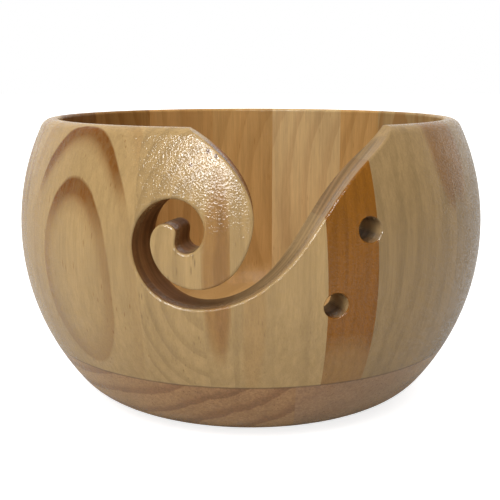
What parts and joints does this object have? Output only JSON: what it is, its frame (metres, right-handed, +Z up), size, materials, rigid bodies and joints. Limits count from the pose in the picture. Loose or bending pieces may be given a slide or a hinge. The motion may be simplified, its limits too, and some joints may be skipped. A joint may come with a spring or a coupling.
{
  "type": "yarn bowl",
  "caption": "Round stave-built wooden yarn bowl with a hooked swirl slot from the rim and round side holes that guide the strand or hold needles.",
  "frame": {"origin": "centre of the flat underside", "axes": "+Z up through the opening, -Y towards the swirl slot, +X to the right of the slot seen from the front"},
  "size_m": [0.15, 0.1499, 0.09],
  "materials": {
    "pale_pine": "gloss varnish",
    "figured_pine": "gloss varnish",
    "flame_pine": "gloss varnish",
    "heartwood_pine": "gloss varnish",
    "base_wood": "satin varnish"
  },
  "bodies": {
    "root": {"base_board_left": "base_wood", "base_board_right": "base_wood", "stave_front_left_broad": "figured_pine", "stave_swirl_top": "pale_pine", "stave_swirl_hook": "pale_pine", "stave_swirl_foot": "pale_pine", "stave_flame_top": "flame_pine", "stave_flame_foot": "flame_pine", "stave_centre_lobe": "pale_pine", "stave_centre_foot": "pale_pine", "stave_heartwood": "heartwood_pine", "stave_front_right": "pale_pine", "stave_right_front": "figured_pine", "stave_right_middle": "pale_pine", "stave_right_back": "pale_pine", "stave_back_right_narrow": "heartwood_pine", "stave_back_right": "figured_pine", "stave_back_middle": "pale_pine", "stave_back_left": "pale_pine", "stave_left_back": "flame_pine", "stave_left_middle": "heartwood_pine", "stave_left_front": "figured_pine"}
  },
  "joints": []
}
